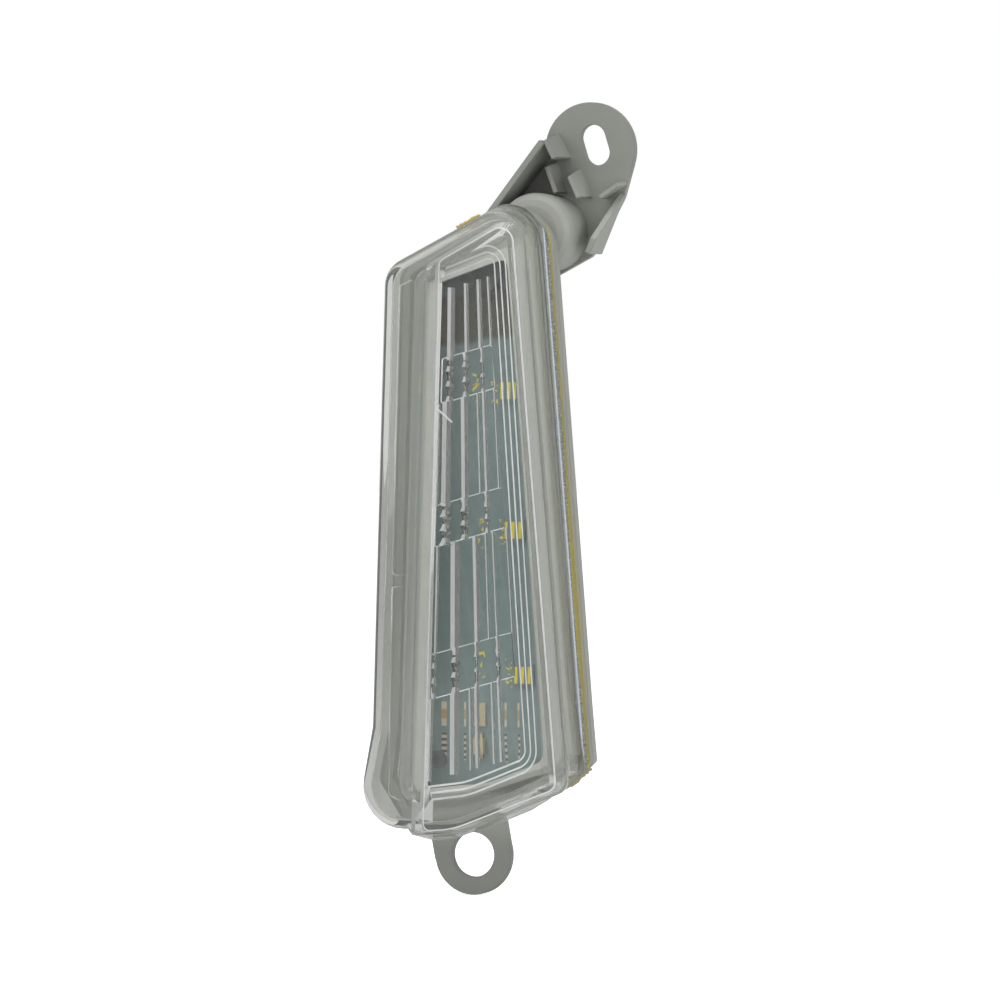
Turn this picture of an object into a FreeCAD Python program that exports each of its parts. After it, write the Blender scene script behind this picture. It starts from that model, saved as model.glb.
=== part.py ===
import FreeCAD, Part
import math
import os

# Daytime running light: a clear moulded lens bonded into a grey housing that holds one circuit board with three
# light-emitting diodes. Millimetres. X to the right as seen from the road, Y into the car, Z up.
# The origin is the centre of the lower mounting hole, on the front face of its ear.

V = FreeCAD.Vector
FORWARD = V(0, -1, 0)
BACKWARD = V(0, 1, 0)

# How far a cutting shape runs past the face it cuts
OVERRUN = 1.0
# The smallest radius left at a corner of an outline that is moved inward
LEAST_ROUND = 0.4

# Depths along Y
WINDOW_FACE = -16.0
LEDGE_FACE = -11.0
LENS_WALL = 2.3
FLANGE_T = 2.4
RIM_DEPTH = 5.0
BACK_FACE = 21.0
BACK_WALL = 2.2
BOARD_FRONT = 12.0
BOARD_T = 1.6

# Housing rim at Y = 0, clockwise from the top left, as (x, z, corner radius)
HOUSING_RIM = (
    (-21.4, 159.4, 7.0),
    (22.0, 182.6, 12.0),
    (33.2, 42.2, 80.0),
    (34.7, 25.6, 2.0),
    (27.4, 18.6, 2.5),
    (-3.0, 8.8, 30.0),
    (-19.5, 8.2, 3.0),
    (-27.0, 19.5, 3.0),
    (-25.0, 36.0, 20.0),
)
RIM_WALL = 1.2
RIM_DRAFT = 0.7
GLUE_GAP = 2.4
TONGUE_T = 2.0
TONGUE_PLAY = 0.3
CHANNEL_DEPTH = 3.6
TUB_WALL = 1.8
TUB_DRAFT = 1.2

# Lens outlines, in the same order of corners
LENS_FOOT = (
    (-22.4, 160.2, 8.0),
    (18.3, 181.6, 9.0),
    (29.9, 42.2, 80.0),
    (32.3, 22.9, 3.5),
    (-3.0, 7.2, 40.0),
    (-31.1, 6.8, 11.8),
    (-25.9, 35.0, 9.0),
)
LENS_LEDGE = (
    (-21.8, 158.9, 8.0),
    (17.9, 179.4, 9.0),
    (29.4, 42.2, 80.0),
    (31.6, 23.6, 3.5),
    (-3.0, 7.4, 40.0),
    (-30.7, 7.0, 11.5),
    (-25.5, 35.0, 9.0),
)
LEDGE_ROUND = 2.2

# The raised window box: its front outline and where its walls meet the ledge
BOX_FRONT = (
    (-4.0, 161.0, 2.5),
    (16.9, 172.4, 4.0),
    (27.7, 42.9, 80.0),
    (29.6, 19.6, 3.0),
    (0.0, 7.9, 24.0),
    (-8.7, 7.2, 2.0),
)
BOX_FOOT = (
    (-9.6, 160.0, 3.0),
    (17.7, 175.0, 4.5),
    (28.6, 42.6, 80.0),
    (30.6, 19.4, 3.5),
    (0.0, 6.8, 24.0),
    (-14.3, 6.3, 2.0),
)
BOX_ROUND = 1.1
BOX_SINK = 1.0

# The lip that hangs below the window box, seen as its lower line
LIP_LINE = ((-17.8, 4.9), (-11.2, 3.5), (-6.0, 4.0), (9.2, 9.3), (16.8, 12.4), (22.6, 15.9))
LIP_TOP_LINE = ((-11.0, 7.6), (-9.0, 7.4), (-4.2, 7.5), (9.2, 11.2), (16.8, 13.9), (22.9, 16.9))
LIP_HEIGHT = 3.0

# The steps inside the window and the ribs on them
FIELD = (
    (-8.0, 155.2, 1.5),
    (11.1, 162.6, 2.0),
    (20.2, 27.4, 3.5),
    (3.0, 20.4, 20.0),
    (-12.5, 18.2, 1.5),
)
STEP_COUNT = 3
STEP_OUT = 1.75
STEP_UP = 0.7
RIB_WIDE = 2.6
RIB_SHRINK = 0.45
RIB_HEIGHT = 1.1
RIB_FACETS = 2
FAN_LEFT = (-4.6, 154.5, 0.0317)
FAN_RIGHT = (15.0, 102.2, -0.0655)

# Rib zones from the top down, as (top z, bottom z, share of the fan at the first rib, share between ribs)
RIB_ZONES = (
    (155.0, 134.5, 0.144, 0.260),
    (124.0, 96.0, 0.085, 0.290),
    (86.0, 55.5, 0.050, 0.230),
    (46.0, 23.0, 0.020, 0.250),
)
RIBS_PER_ZONE = 4

# Optic pads, as (top left x, z), (bottom left x, z), and the width along the top and the bottom edge
PADS = (
    ((-4.0, 134.7), (-4.4, 122.3), 14.2, 15.6),
    ((-5.9, 95.1), (-6.3, 83.6), 18.9, 20.5),
    ((-6.3, 55.2), (-7.3, 42.6), 22.2, 24.2),
)
PAD_RISE = 0.28
PAD_T = 0.5
PILLOW_ROWS = 3
PILLOW_COLUMNS = 3
PILLOW_RADIUS = 2.0
PILLOW_CROWN_R = 0.8
PILLOW_HEIGHT = 1.0
PILLOW_SIDES = 8

# Ledge recess on the left
RECESS = ((-17.2, 154.2), (-12.6, 156.6), (-15.0, 76.0), (-19.4, 76.0))
RECESS_LOW = ((-19.4, 73.0), (-15.1, 73.0), (-16.2, 14.2), (-20.6, 16.6))
RECESS_DEPTH = 0.5

# Lower mounting ear
LOWER_EAR_R = 10.9
LOWER_HOLE_R = 6.1
LOWER_EAR_T = 2.5
EAR_NECK = ((-10.9, -1.6), (-13.2, 10.5), (8.4, 14.5), (10.9, 0.6))

# Upper mounting bracket
EAR_T = 2.0
UPPER_EAR = (26.9, 191.0)
UPPER_EAR_R = 12.9
SLOT_CENTRE = (28.4, 192.3)
SLOT_WIDTH = 7.0
SLOT_LENGTH = 11.2
SLOT_TILT = 17.0
BRACKET_PLATE = ((14.6, 193.0), (-2.0, 171.0), (6.0, 150.7), (27.3, 162.0), (29.4, 164.6), (36.6, 178.0), (39.2, 187.0))
SIDE_WALL_T = 1.6
LEFT_WALL_TOP = (17.6, 193.0)
LEFT_WALL_FOOT = (-3.4, 166.0)
LEFT_WALL_HEIGHT = 13.5
RIGHT_WALL_TOP = (36.4, 179.0)
RIGHT_WALL_FOOT = (29.6, 163.0)
RIGHT_WALL_HEIGHT = 10.0
RIGHT_WALL_SLOPE = 0.75
RIB_T = 1.2
RIB_LOW_END = 0.06
# Bracket ribs, as the two ends of the foot, the height and how far the front edge is cut back at the first end
BRACKET_RIBS = (
    ((17.4, 195.2), (20.9, 188.6), 12.6, 1.9),
    ((16.8, 187.4), (19.8, 179.4), 8.0, 1.0),
    ((23.6, 185.6), (27.0, 178.0), 10.0, 2.0),
    ((37.4, 182.0), (31.6, 178.2), 5.5, 1.0),
)

# Connector barrel
BARREL = (15.7, 168.4)
BARREL_FRONT_R = 10.9
BARREL_BACK_R = 10.5
BARREL_FRONT = 3.0
BARREL_ROUND = 3.6
BARREL_FACETS = 3
SOCKET_R = 8.4
SOCKET_FLOOR = 9.5
BARREL_END = 23.0
KEY_WIDTH = 3.0
KEY_DEPTH = 0.9
PIN_NAMES = ("left", "middle", "right")
PIN_COUNT = len(PIN_NAMES)
PIN_PITCH = 5.0
PIN_WIDTH = 1.6
PIN_T = 0.8
PIN_TIP = 19.5
PIN_BEND = 5.9
PIN_LAND = (3.0, 153.6)
PIN_LAND_PITCH = 3.8
PIN_LAND_RISE = 0.6
PIN_TAIL = 1.2
PIN_PLAY = 0.25
CHAMBER_FRONT = 5.2
BEAD_TOP = 0.4
CARRIER_R = 7.2
CARRIER_T = 2.4

# Circuit board and what stands on it
BOARD_PLAY = 0.5
BOARD_TOP = 160.5
LED_PLACES = {"upper": (6.6, 125.6), "middle": (8.0, 87.7), "lower": (10.6, 48.3)}
LED_SIDE = 5.8
LED_T = 0.9
PHOSPHOR_WIDTH = 5.0
PHOSPHOR_HEIGHT = 4.6
PHOSPHOR_T = 0.3
RESISTOR_UPPER = (-9.0, 76.0)
RESISTOR_LOWER = (-1.5, 37.4)
RESISTOR_SIZE = (3.2, 0.7, 6.4)
RESISTOR_CAP = 0.8
CAP_PROUD = 0.08
DIODE_PLACE = (-1.5, 28.8)
DIODE_SIZE = (2.7, 1.9, 4.4)
DIODE_LEAD = 1.2
DIODE_LEAD_W = 1.5
LEAD_T = 0.2
CAPACITOR_PLACE = (-10.0, 107.0)
CAPACITOR_SIZE = (2.5, 1.6, 3.2)
CAPACITOR_CAP = 0.5
CHIP_PLACE = (-3.0, 107.0)
CHIP_SIZE = (3.9, 1.5, 4.9)
CHIP_LEADS = 4
CHIP_LEAD_PITCH = 1.27
CHIP_LEAD_W = 0.42
CHIP_LEAD_REACH = 1.0
SCREW_PLACES = {"upper": (-5.0, 155.6), "side": (19.4, 66.0), "lower": (-13.0, 25.0)}
SCREW_R = 1.25
SCREW_HEAD_R = 2.4
SCREW_HEAD_T = 1.5
SCREW_LENGTH = 6.0
SCREW_TIP_PLAY = 1.0
SCREW_CROSS = (0.7, 2.6, 0.8)
SCREW_PLAY = 0.2
POST_R = 2.9

# Breather on the back wall
VENT_PLACE = (-8.0, 60.0)
VENT_R = 5.0
VENT_T = 1.2
VENT_STEM_R = 2.0


def outline(corners, y):
    """A closed wire at depth y through the corners, each rounded by its own radius."""
    points = [V(x, y, z) for x, z, _ in corners]
    arcs = []
    for i, (_, _, radius) in enumerate(corners):
        here = points[i]
        back = (points[i - 1] - here).normalize()
        on = (points[(i + 1) % len(points)] - here).normalize()
        half = back.getAngle(on) / 2
        reach = radius / math.tan(half)
        middle = here + (back + on).normalize() * (radius / math.sin(half) - radius)
        arcs.append((here + back * reach, middle, here + on * reach))
    edges = []
    for i, arc in enumerate(arcs):
        edges.append(Part.Arc(*arc).toShape())
        edges.append(Part.makeLine(arc[2], arcs[(i + 1) % len(arcs)][0]))
    return Part.Wire(edges)


def inset(corners, distance):
    """The same outline moved inward by distance, its rounded corners staying parallel."""
    turned = sum(a[0] * b[1] - b[0] * a[1] for a, b in zip(corners, corners[1:] + corners[:1]))
    side = 1 if turned > 0 else -1
    sides = []
    for i, (x, z, _) in enumerate(corners):
        next_x, next_z, _ = corners[(i + 1) % len(corners)]
        run = V(next_x - x, 0, next_z - z).normalize()
        inward = V(-run.z, 0, run.x) * side
        sides.append((V(x, 0, z) + inward * distance, run))
    moved = []
    for i, (_, _, radius) in enumerate(corners):
        start, run = sides[i - 1]
        on_start, on_run = sides[i]
        cross = run.x * on_run.z - run.z * on_run.x
        gap = on_start - start
        point = start + run * ((gap.x * on_run.z - gap.z * on_run.x) / cross)
        bulges = cross * side > 0
        moved.append((point.x, point.z, max(radius - distance if bulges else radius + distance, LEAST_ROUND)))
    return tuple(moved)


def plate(corners, front, back):
    """A flat slab with a rounded outline between two depths."""
    return Part.Face(outline(corners, front)).extrude(V(0, back - front, 0))


def taper(corners, y, far_corners, far_y):
    """A slab whose outline changes evenly from one depth to another."""
    return Part.makeLoft([outline(corners, y), outline(far_corners, far_y)], True, True)


def crowned(foot, foot_y, front, front_y, edge):
    """A tapered slab whose front edge is rounded off in two facets by the given radius."""
    side = edge * (1 - math.sin(math.pi / 4))
    wires = [outline(foot, foot_y), outline(front, front_y + edge)]
    wires += [outline(inset(front, side), front_y + side), outline(inset(front, edge), front_y)]
    return Part.makeLoft(wires, True, True)


def polygon(points, front, back):
    """A slab with a plain polygon outline between two depths."""
    corners = [V(x, front, z) for x, z in points]
    return Part.Face(Part.makePolygon(corners + corners[:1])).extrude(V(0, back - front, 0))


def disc(place, radius, front, back):
    """A round slab on an axis along Y."""
    return Part.makeCylinder(radius, back - front, V(place[0], front, place[1]), BACKWARD)


def block(place, size, front):
    """A block centred on place, size as (width, depth, height), its front face at the given depth."""
    width, depth, height = size
    return Part.makeBox(width, depth, height, V(place[0] - width / 2, front, place[1] - height / 2))


def wall(start, end, thickness, front, back):
    """An upright wall along a line seen from the front."""
    run = V(end[0] - start[0], 0, end[1] - start[1]).normalize()
    across = V(-run.z, 0, run.x) * (thickness / 2)
    a, b = V(start[0], front, start[1]), V(end[0], front, end[1])
    corners = [a + across, b + across, b - across, a - across]
    return Part.Face(Part.makePolygon(corners + corners[:1])).extrude(V(0, back - front, 0))


def gusset(start, end, thickness, foot, height, cut_back):
    """A rib on a plate at depth foot, its front edge cut back by cut_back at the start."""
    run = V(end[0] - start[0], 0, end[1] - start[1]).normalize()
    across = V(-run.z, 0, run.x) * thickness
    a, b = V(start[0], foot, start[1]) - across / 2, V(end[0], foot, end[1]) - across / 2
    rise = FORWARD * height
    corners = [a, a + rise * RIB_LOW_END, a + rise + run * cut_back, b + rise, b]
    return Part.Face(Part.makePolygon(corners + corners[:1])).extrude(across)


def fused(shapes):
    """One solid from several that overlap."""
    return shapes[0].multiFuse(shapes[1:]).removeSplitter()


CHANNEL_OUTER = inset(HOUSING_RIM, RIM_WALL)
TONGUE_OUTER = inset(CHANNEL_OUTER, GLUE_GAP)
TONGUE_INNER = inset(TONGUE_OUTER, TONGUE_T)
CHANNEL_INNER = inset(TONGUE_INNER, TONGUE_PLAY)
TUB_INNER = inset(CHANNEL_INNER, TUB_WALL)
INNER_BACK = BACK_FACE - BACK_WALL
BOARD_BACK = BOARD_FRONT + BOARD_T
PLATE_FRONT = BACK_FACE - EAR_T


def slot_shape():
    """The long hole of the upper ear, its length turned from upright."""
    half = (SLOT_LENGTH - SLOT_WIDTH) / 2
    lean = math.radians(SLOT_TILT)
    along = V(-math.sin(lean), 0, math.cos(lean)) * half
    front, back = PLATE_FRONT - OVERRUN, BACK_FACE + OVERRUN
    ends = [(SLOT_CENTRE[0] + s * along.x, SLOT_CENTRE[1] + s * along.z) for s in (-1, 1)]
    rounds = [disc(end, SLOT_WIDTH / 2, front, back) for end in ends]
    return fused(rounds + [wall(ends[0], ends[1], SLOT_WIDTH, front, back)])


def upper_bracket():
    """The slotted ear, its plate, the two side walls and the ribs."""
    ear = disc(UPPER_EAR, UPPER_EAR_R, PLATE_FRONT, BACK_FACE)
    base = polygon(BRACKET_PLATE, PLATE_FRONT, BACK_FACE)
    left = wall(LEFT_WALL_TOP, LEFT_WALL_FOOT, SIDE_WALL_T, PLATE_FRONT - LEFT_WALL_HEIGHT, PLATE_FRONT)
    run = math.dist(RIGHT_WALL_TOP, RIGHT_WALL_FOOT)
    right = gusset(RIGHT_WALL_TOP, RIGHT_WALL_FOOT, SIDE_WALL_T, PLATE_FRONT, RIGHT_WALL_HEIGHT, run * RIGHT_WALL_SLOPE)
    ribs = [gusset(a, b, RIB_T, PLATE_FRONT, height, cut) for a, b, height, cut in BRACKET_RIBS]
    return [ear, base, left, right] + ribs


def lower_ear():
    """The round ear with its neck."""
    return [disc((0, 0), LOWER_EAR_R, 0, LOWER_EAR_T), polygon(EAR_NECK, 0, LOWER_EAR_T)]


def barrel():
    """The tapered barrel round the connector socket, its front shoulder rounded off in facets."""
    turns = [math.pi / 2 * i / BARREL_FACETS for i in range(BARREL_FACETS + 1)]
    sides = [(BARREL_FRONT_R - BARREL_ROUND * (1 - math.sin(a)), BARREL_ROUND * (1 - math.cos(a))) for a in turns]
    sides.append((BARREL_BACK_R, BARREL_END - BARREL_FRONT))
    profile = [V(BARREL[0] + radius, BARREL_FRONT + depth, BARREL[1]) for radius, depth in sides]
    front, back = V(BARREL[0], BARREL_FRONT, BARREL[1]), V(BARREL[0], BARREL_END, BARREL[1])
    return Part.Face(Part.makePolygon([front] + profile + [back, front])).revolve(front, BACKWARD, 360)


def socket():
    """The space inside the barrel, with a key slot at its top."""
    bore = disc(BARREL, SOCKET_R, SOCKET_FLOOR, BARREL_END + OVERRUN)
    key_place = (BARREL[0], BARREL[1] + SOCKET_R)
    key = block(key_place, (KEY_WIDTH, BARREL_END + OVERRUN - SOCKET_FLOOR, 2 * KEY_DEPTH), SOCKET_FLOOR)
    return fused([bore, key])


def housing():
    """The grey moulding: rim with its glue channel, tub, board posts, barrel, bracket and ears."""
    rim = taper(HOUSING_RIM, 0, inset(HOUSING_RIM, RIM_DRAFT), RIM_DEPTH)
    tub = taper(CHANNEL_INNER, 0, inset(CHANNEL_INNER, TUB_DRAFT), BACK_FACE)
    body = fused([rim, tub, barrel()] + upper_bracket() + lower_ear())
    channel = plate(CHANNEL_OUTER, -OVERRUN, CHANNEL_DEPTH)
    channel = channel.cut(plate(CHANNEL_INNER, -2 * OVERRUN, CHANNEL_DEPTH + OVERRUN))
    cavity = taper(TUB_INNER, -OVERRUN, inset(TUB_INNER, TUB_DRAFT), INNER_BACK)
    floor = disc(BARREL, SOCKET_R + TUB_WALL, SOCKET_FLOOR - CARRIER_T, BACK_FACE)
    body = body.cut(channel).cut(cavity.cut(floor))
    posts = [disc(place, POST_R, BOARD_BACK, INNER_BACK) for place in SCREW_PLACES.values()]
    body = fused([body] + posts)
    holes = [disc((0, 0), LOWER_HOLE_R, -OVERRUN, LOWER_EAR_T + OVERRUN), slot_shape(), socket()]
    holes += [disc(place, SCREW_R, BOARD_BACK - OVERRUN, BOARD_BACK + SCREW_LENGTH) for place in SCREW_PLACES.values()]
    holes.append(disc(VENT_PLACE, VENT_STEM_R, INNER_BACK - OVERRUN, BACK_FACE + OVERRUN))
    holes.append(disc(BARREL, CARRIER_R, SOCKET_FLOOR - CARRIER_T - OVERRUN, SOCKET_FLOOR + OVERRUN))
    holes.append(disc(BARREL, SOCKET_R, CHAMBER_FRONT, SOCKET_FLOOR - CARRIER_T))
    for hole in holes + [lead_way(i) for i in range(PIN_COUNT)]:
        body = body.cut(hole)
    return body


def lead_way(index):
    """The clear space kept in the housing round the bridge of one terminal."""
    ends = pin_place(index), pin_land(index)
    return wall(*ends, PIN_WIDTH + 2 * PIN_PLAY, PIN_BEND - PIN_PLAY, PIN_BEND + PIN_T + PIN_PLAY)


def fan(share, z):
    """The place across the window at height z that lies at this share from its left to its right edge."""
    left = FAN_LEFT[0] + FAN_LEFT[2] * (z - FAN_LEFT[1])
    right = FAN_RIGHT[0] + FAN_RIGHT[2] * (z - FAN_RIGHT[1])
    return left + share * (right - left)


def rib(share, top, bottom, width, depth):
    """One rib down the window, its crown made of facets, standing into the lamp from the given depth."""
    x = fan(share, top)
    crown = [math.pi * i / RIB_FACETS for i in range(RIB_FACETS + 1)]
    points = [V(x - width / 2 * math.cos(a), depth + RIB_HEIGHT * math.sin(a), top) for a in crown]
    sunk = FORWARD * (STEP_UP / 2)
    points += [points[-1] + sunk, points[0] + sunk, points[0]]
    return Part.Face(Part.makePolygon(points)).extrude(V(fan(share, bottom) - x, 0, bottom - top))


def pillow(foot):
    """One low dome of a pad as a faceted frustum, its axis along Y through foot."""
    turns = [2 * math.pi * i / PILLOW_SIDES for i in range(PILLOW_SIDES + 1)]
    around = [V(math.cos(a), 0, math.sin(a)) for a in turns]
    low = [foot + spoke * PILLOW_RADIUS for spoke in around]
    high = [foot + BACKWARD * PILLOW_HEIGHT + spoke * PILLOW_CROWN_R for spoke in around]
    faces = [Part.Face(Part.makePolygon(low)), Part.Face(Part.makePolygon(high))]
    for i in range(PILLOW_SIDES):
        faces.append(Part.Face(Part.makePolygon([low[i], low[i + 1], high[i + 1], high[i], low[i]])))
    return Part.Solid(Part.Shell(faces))


def optic_pad(top_left, bottom_left, top_width, bottom_width, depth, share, pitch):
    """One raised pad with rows of pillow-shaped bumps."""
    corners = [top_left, (top_left[0] + top_width, top_left[1] + top_width * PAD_RISE)]
    corners += [(bottom_left[0] + bottom_width, bottom_left[1] + bottom_width * PAD_RISE), bottom_left]
    pad = polygon(corners, depth - STEP_UP / 2, depth + PAD_T)
    pieces = [pad]
    row_pitch = (top_left[1] - bottom_left[1]) / PILLOW_ROWS
    for row in range(PILLOW_ROWS):
        for column in range(PILLOW_COLUMNS):
            left_z = top_left[1] - (row + 0.5) * row_pitch
            x = fan(share + column * pitch, left_z)
            z = left_z + (x - top_left[0]) * PAD_RISE
            pieces.append(pillow(V(x, depth + PAD_T, z)))
    return pieces


def window_optics():
    """The nested steps, ribs and pads on the inner face of the window."""
    face = WINDOW_FACE + LENS_WALL
    pieces = []
    for step in range(STEP_COUNT):
        spread = STEP_OUT * (STEP_COUNT - 1 - step)
        pieces.append(plate(inset(FIELD, -spread), face - STEP_UP, face + STEP_UP * (step + 1)))
    depth = face + STEP_UP * STEP_COUNT
    for top, bottom, share, pitch in RIB_ZONES:
        for i in range(RIBS_PER_ZONE):
            pieces.append(rib(share + i * pitch, top, bottom, RIB_WIDE - i * RIB_SHRINK, depth))
    for pad, (_, _, share, pitch) in zip(PADS, RIB_ZONES):
        pieces += optic_pad(*pad, depth, share, pitch)
    return pieces


def lip():
    """The strip that hangs below the window box."""
    sections = []
    for line, y in ((LIP_TOP_LINE, WINDOW_FACE + 2 * BOX_ROUND), (LIP_LINE, 0)):
        lower = [V(x, y, z) for x, z in line]
        upper = [V(x, y, z + LIP_HEIGHT) for x, z in reversed(line)]
        sections.append(Part.makePolygon(lower + upper + lower[:1]))
    return Part.makeLoft(sections, True, True)


def lens():
    """The clear cap: ledge, raised window box, hollow inside, tongue for the channel, and window optics."""
    ledge = crowned(LENS_FOOT, 0, LENS_LEDGE, LEDGE_FACE, LEDGE_ROUND)
    box = crowned(BOX_FOOT, LEDGE_FACE + BOX_SINK, BOX_FRONT, WINDOW_FACE, BOX_ROUND)
    tongue = plate(TONGUE_OUTER, -FLANGE_T, CHANNEL_DEPTH - TONGUE_PLAY)
    body = fused([ledge, box, lip(), tongue])
    hollow = taper(inset(LENS_FOOT, LENS_WALL), -FLANGE_T, inset(LENS_LEDGE, LENS_WALL), LEDGE_FACE + LENS_WALL)
    box_hollow = taper(
        inset(BOX_FOOT, LENS_WALL), LEDGE_FACE + LENS_WALL + BOX_SINK, inset(BOX_FRONT, LENS_WALL), WINDOW_FACE + LENS_WALL
    )
    opening = plate(TONGUE_INNER, -FLANGE_T - OVERRUN, CHANNEL_DEPTH)
    for space in (hollow, box_hollow, opening):
        body = body.cut(space)
    for recess in (RECESS, RECESS_LOW):
        body = body.cut(polygon(recess, LEDGE_FACE - OVERRUN, LEDGE_FACE + RECESS_DEPTH))
    return fused([body] + window_optics())


def sealant_bead(cap):
    """The glue that fills the channel round the tongue of the lens cap."""
    core = plate(CHANNEL_INNER, BEAD_TOP - OVERRUN, CHANNEL_DEPTH + OVERRUN)
    return plate(CHANNEL_OUTER, BEAD_TOP, CHANNEL_DEPTH).cut(core).cut(cap)


def circuit_board():
    """The board, following the tub's inner wall, with its screw and terminal holes."""
    shrink = TUB_DRAFT * BOARD_BACK / INNER_BACK + BOARD_PLAY
    board = plate(inset(TUB_INNER, shrink), BOARD_FRONT, BOARD_BACK)
    front, back = BOARD_FRONT - OVERRUN, BOARD_BACK + OVERRUN
    reach = max(z for _, z, _ in HOUSING_RIM)
    above = polygon(((-reach, BOARD_TOP), (reach, BOARD_TOP), (reach, 2 * reach), (-reach, 2 * reach)), front, back)
    board = board.cut(above).cut(disc(BARREL, SOCKET_R + TUB_WALL + BOARD_PLAY, front, back))
    for place in SCREW_PLACES.values():
        board = board.cut(disc(place, SCREW_R + SCREW_PLAY, front, back))
    for i in range(PIN_COUNT):
        hole = block(pin_land(i), (PIN_WIDTH, back - front, PIN_T), front)
        board = board.cut(hole)
    return board


def pin_place(index):
    """Where a terminal stands in the socket."""
    return (BARREL[0] + (index - (PIN_COUNT - 1) / 2) * PIN_PITCH, BARREL[1])


def pin_land(index):
    """Where a terminal enters the board."""
    return (PIN_LAND[0] + index * PIN_LAND_PITCH, PIN_LAND[1] + index * PIN_LAND_RISE)


def terminal(index):
    """A bent blade from the socket through the carrier to the board."""
    place, land = pin_place(index), pin_land(index)
    blade = block(place, (PIN_WIDTH, PIN_TIP - PIN_BEND, PIN_T), PIN_BEND)
    bridge = wall(place, land, PIN_WIDTH, PIN_BEND, PIN_BEND + PIN_T)
    ends = [disc(end, PIN_WIDTH / 2, PIN_BEND, PIN_BEND + PIN_T) for end in (place, land)]
    leg = block(land, (PIN_WIDTH, BOARD_BACK + PIN_TAIL - PIN_BEND, PIN_T), PIN_BEND)
    return fused([blade, bridge, leg] + ends)


def terminal_carrier():
    """The disc that holds the terminals at the socket's floor."""
    carrier = disc(BARREL, CARRIER_R, SOCKET_FLOOR - CARRIER_T, SOCKET_FLOOR)
    for i in range(PIN_COUNT):
        size = (PIN_WIDTH, CARRIER_T + 2 * OVERRUN, PIN_T)
        slot = block(pin_place(i), size, SOCKET_FLOOR - CARRIER_T - OVERRUN)
        carrier = carrier.cut(slot)
    return carrier


def led_body(place):
    """The white package of one diode, with a shallow tray for its phosphor."""
    body = block(place, (LED_SIDE, LED_T, LED_SIDE), BOARD_FRONT - LED_T)
    return body.cut(phosphor(place))


def phosphor(place):
    """The yellow phosphor plate, sunk into the package by half its thickness."""
    return block(place, (PHOSPHOR_WIDTH, PHOSPHOR_T, PHOSPHOR_HEIGHT), BOARD_FRONT - LED_T - PHOSPHOR_T / 2)


def chip_part(place, size, cap):
    """An upright two-terminal chip with its end caps a little proud of the body."""
    width, depth, height = size
    body = block(place, (width - 2 * CAP_PROUD, depth - CAP_PROUD, height), BOARD_FRONT - depth + CAP_PROUD)
    ends = [
        block((place[0], place[1] + s * (height - cap) / 2), (width, depth, cap), BOARD_FRONT - depth) for s in (-1, 1)
    ]
    return fused([body] + ends)


def turned_over(piece):
    """The same piece on the board's back."""
    return piece.mirror(V(0, (BOARD_FRONT + BOARD_BACK) / 2, 0), BACKWARD)


def protection_diode():
    """A moulded diode body with a bent lead at each end."""
    width, depth, height = DIODE_SIZE
    body = block(DIODE_PLACE, (width, depth - LEAD_T, height), BOARD_FRONT - depth)
    parts = [body]
    for s in (-1, 1):
        reach = height / 2 + DIODE_LEAD / 2
        foot = (DIODE_PLACE[0], DIODE_PLACE[1] + s * reach)
        parts.append(block(foot, (DIODE_LEAD_W, depth / 2, DIODE_LEAD), BOARD_FRONT - depth / 2))
        under = (DIODE_PLACE[0], DIODE_PLACE[1] + s * (height / 2 - DIODE_LEAD / 2))
        parts.append(block(under, (DIODE_LEAD_W, LEAD_T, DIODE_LEAD), BOARD_FRONT - LEAD_T))
    return fused(parts)


def driver_chip():
    """The current regulator: a moulded body with a row of leads down each side."""
    width, depth, height = CHIP_SIZE
    parts = [block(CHIP_PLACE, (width, depth - LEAD_T, height), BOARD_FRONT - depth)]
    for row in range(CHIP_LEADS):
        z = CHIP_PLACE[1] + (row - (CHIP_LEADS - 1) / 2) * CHIP_LEAD_PITCH
        for s in (-1, 1):
            x = CHIP_PLACE[0] + s * (width / 2 + CHIP_LEAD_REACH / 2)
            parts.append(block((x, z), (CHIP_LEAD_REACH, depth / 2, CHIP_LEAD_W), BOARD_FRONT - depth / 2))
    return fused(parts)


def board_screw(place):
    """A pan-head screw with a cross recess, down into its post."""
    top = BOARD_FRONT - SCREW_HEAD_T
    head = disc(place, SCREW_HEAD_R, top, BOARD_FRONT)
    screw = fused([head, disc(place, SCREW_R, BOARD_FRONT, BOARD_BACK + SCREW_LENGTH - SCREW_TIP_PLAY)])
    slot, reach, deep = SCREW_CROSS
    for size in ((slot, deep, reach), (reach, deep, slot)):
        screw = screw.cut(block(place, size, top))
    return screw


def breather_vent():
    """The mushroom-shaped breather plug in the back wall."""
    head = disc(VENT_PLACE, VENT_R, BACK_FACE, BACK_FACE + VENT_T)
    stem = disc(VENT_PLACE, VENT_STEM_R, INNER_BACK, BACK_FACE)
    return fused([head, stem])


pieces = {"housing": housing(), "lens": lens()}
pieces["sealant_bead"] = sealant_bead(pieces["lens"])
pieces["circuit_board"] = circuit_board()
for name, place in LED_PLACES.items():
    pieces["led_" + name] = led_body(place)
    pieces["phosphor_" + name] = phosphor(place)
pieces["resistor_upper"] = turned_over(chip_part(RESISTOR_UPPER, RESISTOR_SIZE, RESISTOR_CAP))
pieces["resistor_lower"] = chip_part(RESISTOR_LOWER, RESISTOR_SIZE, RESISTOR_CAP)
pieces["filter_capacitor"] = turned_over(chip_part(CAPACITOR_PLACE, CAPACITOR_SIZE, CAPACITOR_CAP))
pieces["protection_diode"] = protection_diode()
pieces["driver_chip"] = turned_over(driver_chip())
for i, name in enumerate(PIN_NAMES):
    pieces["terminal_" + name] = terminal(i)
pieces["terminal_carrier"] = terminal_carrier()
for name, place in SCREW_PLACES.items():
    pieces["board_screw_" + name] = board_screw(place)
pieces["breather_vent"] = breather_vent()

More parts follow.
